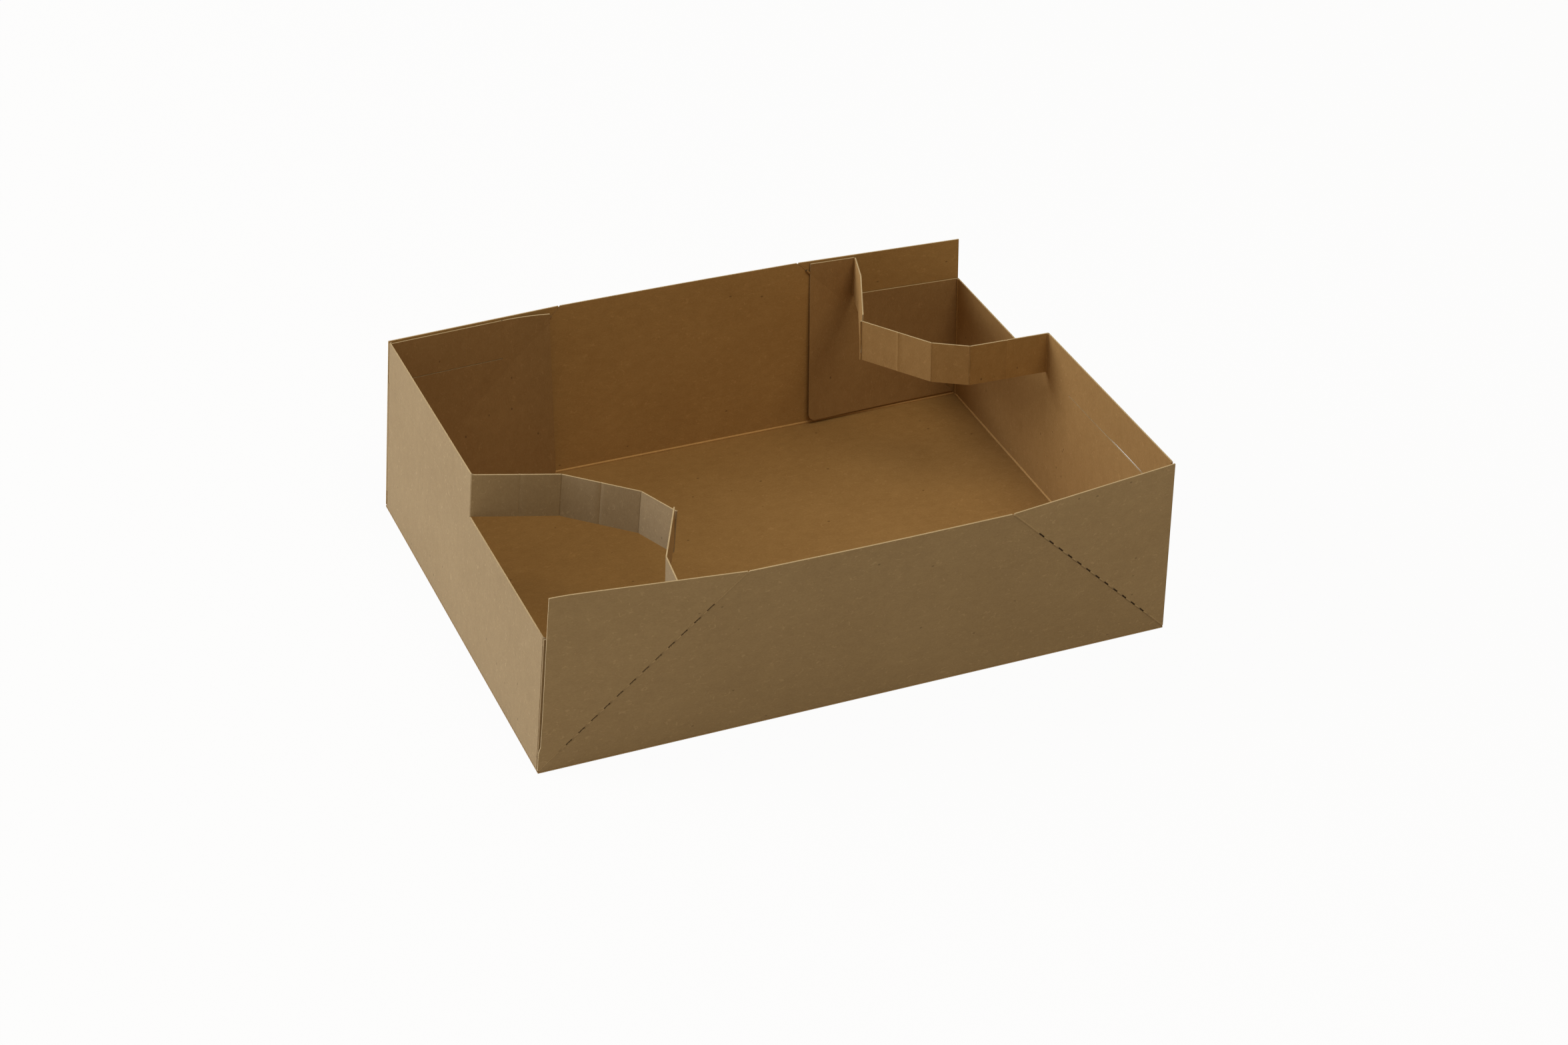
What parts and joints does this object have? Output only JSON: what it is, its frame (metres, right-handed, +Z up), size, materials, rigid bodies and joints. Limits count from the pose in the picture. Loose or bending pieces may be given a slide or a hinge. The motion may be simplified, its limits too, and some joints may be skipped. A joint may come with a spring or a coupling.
{
  "type": "cup carrier tray",
  "caption": "Open kraft board pop-up tray with leaning walls, glued corner flaps and creased corner straps that push in to hold drink cups.",
  "frame": {"origin": "middle of the underside of the base panel, where the tray stands", "axes": "+X along the long walls to the right end, +Y from the front long wall to the back one, +Z up"},
  "size_m": [0.25, 0.1929, 0.0749],
  "materials": {
    "board_outside": "matte",
    "board_inside": "matte",
    "glue": "dull"
  },
  "bodies": {
    "base": {"base_panel": "board_inside"},
    "front_wall": {"front_wall_panel": "board_outside", "front_left_flap_free_half": "board_inside", "front_right_flap_free_half": "board_inside"},
    "back_wall": {"back_wall_panel": "board_outside", "back_left_flap_free_half": "board_inside", "back_right_flap_free_half": "board_inside"},
    "left_wall": {"left_wall_panel": "board_outside"},
    "right_wall": {"right_wall_panel": "board_outside"},
    "front_left_corner": {"front_left_corner_triangle": "board_outside", "front_left_glue_patch": "glue", "front_left_flap_glued_half": "board_inside"},
    "front_right_corner": {"front_right_corner_triangle": "board_outside", "front_right_glue_patch": "glue", "front_right_flap_glued_half": "board_inside"},
    "back_left_corner": {"back_left_corner_triangle": "board_outside", "back_left_glue_patch": "glue", "back_left_flap_glued_half": "board_inside"},
    "back_right_corner": {"back_right_corner_triangle": "board_outside", "back_right_glue_patch": "glue", "back_right_flap_glued_half": "board_inside"},
    "front_left_strap_wall_a": {"front_left_strap_wall_panel_1": "board_inside", "front_left_strap_wall_panel_2": "board_inside"},
    "front_left_strap_wall_b": {"front_left_strap_wall_panel_3": "board_inside", "front_left_strap_wall_panel_4": "board_inside"},
    "front_left_strap_wall_c": {"front_left_strap_wall_panel_5": "board_inside"},
    "front_left_strap_flap_a": {"front_left_strap_flap_panel_1": "board_inside"},
    "front_left_strap_flap_b": {"front_left_strap_flap_panel_2": "board_inside"},
    "front_right_strap_wall_a": {"front_right_strap_wall_panel_1": "board_inside", "front_right_strap_wall_panel_2": "board_inside"},
    "front_right_strap_wall_b": {"front_right_strap_wall_panel_3": "board_inside", "front_right_strap_wall_panel_4": "board_inside"},
    "front_right_strap_wall_c": {"front_right_strap_wall_panel_5": "board_inside"},
    "front_right_strap_flap_a": {"front_right_strap_flap_panel_1": "board_inside"},
    "front_right_strap_flap_b": {"front_right_strap_flap_panel_2": "board_inside"},
    "back_left_strap_wall_a": {"back_left_strap_wall_panel_1": "board_inside", "back_left_strap_wall_panel_2": "board_inside"},
    "back_left_strap_wall_b": {"back_left_strap_wall_panel_3": "board_inside", "back_left_strap_wall_panel_4": "board_inside"},
    "back_left_strap_wall_c": {"back_left_strap_wall_panel_5": "board_inside"},
    "back_left_strap_flap_a": {"back_left_strap_flap_panel_1": "board_inside"},
    "back_left_strap_flap_b": {"back_left_strap_flap_panel_2": "board_inside"},
    "back_right_strap_wall_a": {"back_right_strap_wall_panel_1": "board_inside", "back_right_strap_wall_panel_2": "board_inside"},
    "back_right_strap_wall_b": {"back_right_strap_wall_panel_3": "board_inside"},
    "back_right_strap_wall_c": {"back_right_strap_wall_panel_4": "board_inside", "back_right_strap_wall_panel_5": "board_inside"},
    "back_right_strap_flap_a": {"back_right_strap_flap_panel_1": "board_inside"},
    "back_right_strap_flap_b": {"back_right_strap_flap_panel_2": "board_inside"}
  },
  "joints": [
    {"name": "front_wall_fold", "type": "hinge", "parent": "base", "child": "front_wall", "pos_m": [0, -0.0895, 0.0008], "axis": [-1, 0, 0], "range_deg": [0, 24]},
    {"name": "back_wall_fold", "type": "hinge", "parent": "base", "child": "back_wall", "pos_m": [0, 0.0895, 0.0008], "axis": [1, 0, 0], "range_deg": [0, 19]},
    {"name": "left_wall_fold", "type": "hinge", "parent": "base", "child": "left_wall", "pos_m": [-0.1245, 0, 0.0008], "axis": [0, 1, 0], "range_deg": [0, 2.22]},
    {"name": "right_wall_fold", "type": "hinge", "parent": "base", "child": "right_wall", "pos_m": [0.1245, 0, 0.0008], "axis": [0, -1, 0], "range_deg": [0, 2.22]},
    {"name": "front_left_corner_fold", "type": "hinge", "parent": "front_wall", "child": "front_left_corner", "pos_m": [-0.125, -0.09, 0.00074], "axis": [0.7071, -0.0862, 0.7018], "range_deg": [0, 35.95]},
    {"name": "front_right_corner_fold", "type": "hinge", "parent": "front_wall", "child": "front_right_corner", "pos_m": [0.125, -0.09, 0.00074], "axis": [0.7071, 0.0862, -0.7018], "range_deg": [0, 35.95]},
    {"name": "back_left_corner_fold", "type": "hinge", "parent": "back_wall", "child": "back_left_corner", "pos_m": [-0.125, 0.09, 0.00077], "axis": [-0.7071, -0.037, -0.7061], "range_deg": [0, 28.64]},
    {"name": "back_right_corner_fold", "type": "hinge", "parent": "back_wall", "child": "back_right_corner", "pos_m": [0.125, 0.09, 0.00077], "axis": [-0.7071, 0.037, 0.7061], "range_deg": [0, 28.64]},
    {"name": "front_left_strap_push", "type": "hinge", "parent": "left_wall", "child": "front_left_strap_wall_a", "pos_m": [-0.12105, -0.00935, 0.06671], "axis": [0.0523, 0, 0.9986], "range_deg": [-75.17, 0], "deforming": ["front_left_strap_wall_panel_4", "front_left_strap_wall_panel_5"]},
    {"name": "front_left_strap_first_bend", "type": "hinge", "parent": "front_left_strap_wall_a", "child": "front_left_strap_wall_b", "pos_m": [-0.09022, -0.01778, 0.06509], "axis": [0.0523, 0, 0.9986], "range_deg": [0, 23.51]},
    {"name": "front_left_strap_second_bend", "type": "hinge", "parent": "front_left_strap_wall_b", "child": "front_left_strap_wall_c", "pos_m": [-0.06672, -0.03639, 0.06386], "axis": [0.0523, 0, 0.9986], "range_deg": [0, 26.63]},
    {"name": "front_left_strap_flap_turn", "type": "hinge", "parent": "front_left_corner", "child": "front_left_strap_flap_a", "pos_m": [-0.07526, -0.0947, 0.0668], "axis": [0, 0, -1], "range_deg": [-89.62, 0]},
    {"name": "front_left_strap_flap_bend", "type": "hinge", "parent": "front_left_strap_flap_a", "child": "front_left_strap_flap_b", "pos_m": [-0.0738, -0.07977, 0.0668], "axis": [0, 0, -1], "range_deg": [-20, 0]},
    {"name": "front_right_strap_push", "type": "hinge", "parent": "right_wall", "child": "front_right_strap_wall_a", "pos_m": [0.12105, -0.00935, 0.06671], "axis": [-0.0523, 0, 0.9986], "range_deg": [-75.16, 0], "deforming": ["front_right_strap_wall_panel_4", "front_right_strap_wall_panel_5"]},
    {"name": "front_right_strap_first_bend", "type": "hinge", "parent": "front_right_strap_wall_a", "child": "front_right_strap_wall_b", "pos_m": [0.1213, -0.04135, 0.06672], "axis": [-0.0523, 0, 0.9986], "range_deg": [0, 23.5]},
    {"name": "front_right_strap_second_bend", "type": "hinge", "parent": "front_right_strap_wall_b", "child": "front_right_strap_wall_c", "pos_m": [0.1213, -0.07135, 0.06672], "axis": [-0.0523, 0, 0.9986], "range_deg": [0, 26.63]},
    {"name": "front_right_strap_flap_turn", "type": "hinge", "parent": "front_right_corner", "child": "front_right_strap_flap_a", "pos_m": [0.07526, -0.0947, 0.0668], "axis": [0, 0, -1], "range_deg": [-89.61, 0]},
    {"name": "front_right_strap_flap_bend", "type": "hinge", "parent": "front_right_strap_flap_a", "child": "front_right_strap_flap_b", "pos_m": [0.09018, -0.09314, 0.0668], "axis": [0, 0, -1], "range_deg": [-20.01, 0]},
    {"name": "back_left_strap_push", "type": "hinge", "parent": "left_wall", "child": "back_left_strap_wall_a", "pos_m": [-0.12105, 0.00935, 0.06671], "axis": [0.0523, 0, 0.9986], "range_deg": [-75.16, 0], "deforming": ["back_left_strap_wall_panel_4", "back_left_strap_wall_panel_5"]},
    {"name": "back_left_strap_first_bend", "type": "hinge", "parent": "back_left_strap_wall_a", "child": "back_left_strap_wall_b", "pos_m": [-0.1213, 0.04135, 0.06672], "axis": [0.0523, 0, 0.9986], "range_deg": [0, 23.5]},
    {"name": "back_left_strap_second_bend", "type": "hinge", "parent": "back_left_strap_wall_b", "child": "back_left_strap_wall_c", "pos_m": [-0.1213, 0.07135, 0.06672], "axis": [0.0523, 0, 0.9986], "range_deg": [0, 26.63]},
    {"name": "back_left_strap_flap_turn", "type": "hinge", "parent": "back_left_corner", "child": "back_left_strap_flap_a", "pos_m": [-0.07502, 0.09126, 0.0668], "axis": [0, 0, -1], "range_deg": [-89.61, 0]},
    {"name": "back_left_strap_flap_bend", "type": "hinge", "parent": "back_left_strap_flap_a", "child": "back_left_strap_flap_b", "pos_m": [-0.09002, 0.09073, 0.0668], "axis": [0, 0, -1], "range_deg": [-20.01, 0]},
    {"name": "back_right_strap_push", "type": "hinge", "parent": "right_wall", "child": "back_right_strap_wall_a", "pos_m": [0.12105, 0.00935, 0.06671], "axis": [-0.0523, 0, 0.9986], "range_deg": [-83.29, 0], "deforming": ["back_right_strap_wall_panel_4", "back_right_strap_wall_panel_5"]},
    {"name": "back_right_strap_first_bend", "type": "hinge", "parent": "back_right_strap_wall_a", "child": "back_right_strap_wall_b", "pos_m": [0.08934, 0.01334, 0.06505], "axis": [-0.0523, 0, 0.9986], "range_deg": [0, 27]},
    {"name": "back_right_strap_second_bend", "type": "hinge", "parent": "back_right_strap_wall_b", "child": "back_right_strap_wall_c", "pos_m": [0.07688, 0.02167, 0.06439], "axis": [-0.0523, 0, 0.9986], "range_deg": [0, 21.64]},
    {"name": "back_right_strap_flap_turn", "type": "hinge", "parent": "back_right_corner", "child": "back_right_strap_flap_a", "pos_m": [0.07502, 0.09126, 0.0668], "axis": [0, 0, -1], "range_deg": [-102.9, 0]},
    {"name": "back_right_strap_flap_bend", "type": "hinge", "parent": "back_right_strap_flap_a", "child": "back_right_strap_flap_b", "pos_m": [0.07116, 0.07677, 0.0668], "axis": [0, 0, -1], "range_deg": [-7.01, 0]}
  ],
  "couplings": [
    {"joint": "back_wall_fold", "follows": "front_wall_fold", "ratio": 0.7914},
    {"joint": "left_wall_fold", "follows": "front_wall_fold", "ratio": 0.0923},
    {"joint": "right_wall_fold", "follows": "front_wall_fold", "ratio": 0.0923},
    {"joint": "front_left_corner_fold", "follows": "front_wall_fold", "ratio": 1.4978},
    {"joint": "front_right_corner_fold", "follows": "front_wall_fold", "ratio": 1.4978},
    {"joint": "back_left_corner_fold", "follows": "front_wall_fold", "ratio": 1.1932},
    {"joint": "back_right_corner_fold", "follows": "front_wall_fold", "ratio": 1.1932},
    {"joint": "front_left_strap_push", "follows": "front_wall_fold", "ratio": -3.1318},
    {"joint": "front_left_strap_first_bend", "follows": "front_wall_fold", "ratio": 0.9792},
    {"joint": "front_left_strap_second_bend", "follows": "front_wall_fold", "ratio": 1.1093},
    {"joint": "front_left_strap_flap_turn", "follows": "front_wall_fold", "ratio": -3.7339},
    {"joint": "front_left_strap_flap_bend", "follows": "front_wall_fold", "ratio": -0.8333},
    {"joint": "front_right_strap_first_bend", "follows": "front_right_strap_push", "ratio": -0.3126},
    {"joint": "front_right_strap_second_bend", "follows": "front_right_strap_push", "ratio": -0.3542},
    {"joint": "front_right_strap_flap_turn", "follows": "front_right_strap_push", "ratio": 1.1922},
    {"joint": "front_right_strap_flap_bend", "follows": "front_right_strap_push", "ratio": 0.2661},
    {"joint": "back_left_strap_first_bend", "follows": "back_left_strap_push", "ratio": -0.3126},
    {"joint": "back_left_strap_second_bend", "follows": "back_left_strap_push", "ratio": -0.3542},
    {"joint": "back_left_strap_flap_turn", "follows": "back_left_strap_push", "ratio": 1.1922},
    {"joint": "back_left_strap_flap_bend", "follows": "back_left_strap_push", "ratio": 0.2661},
    {"joint": "back_right_strap_push", "follows": "front_wall_fold", "ratio": -3.4703},
    {"joint": "back_right_strap_first_bend", "follows": "front_wall_fold", "ratio": 1.125},
    {"joint": "back_right_strap_second_bend", "follows": "front_wall_fold", "ratio": 0.9015},
    {"joint": "back_right_strap_flap_turn", "follows": "front_wall_fold", "ratio": -4.2871},
    {"joint": "back_right_strap_flap_bend", "follows": "front_wall_fold", "ratio": -0.2917}
  ]
}
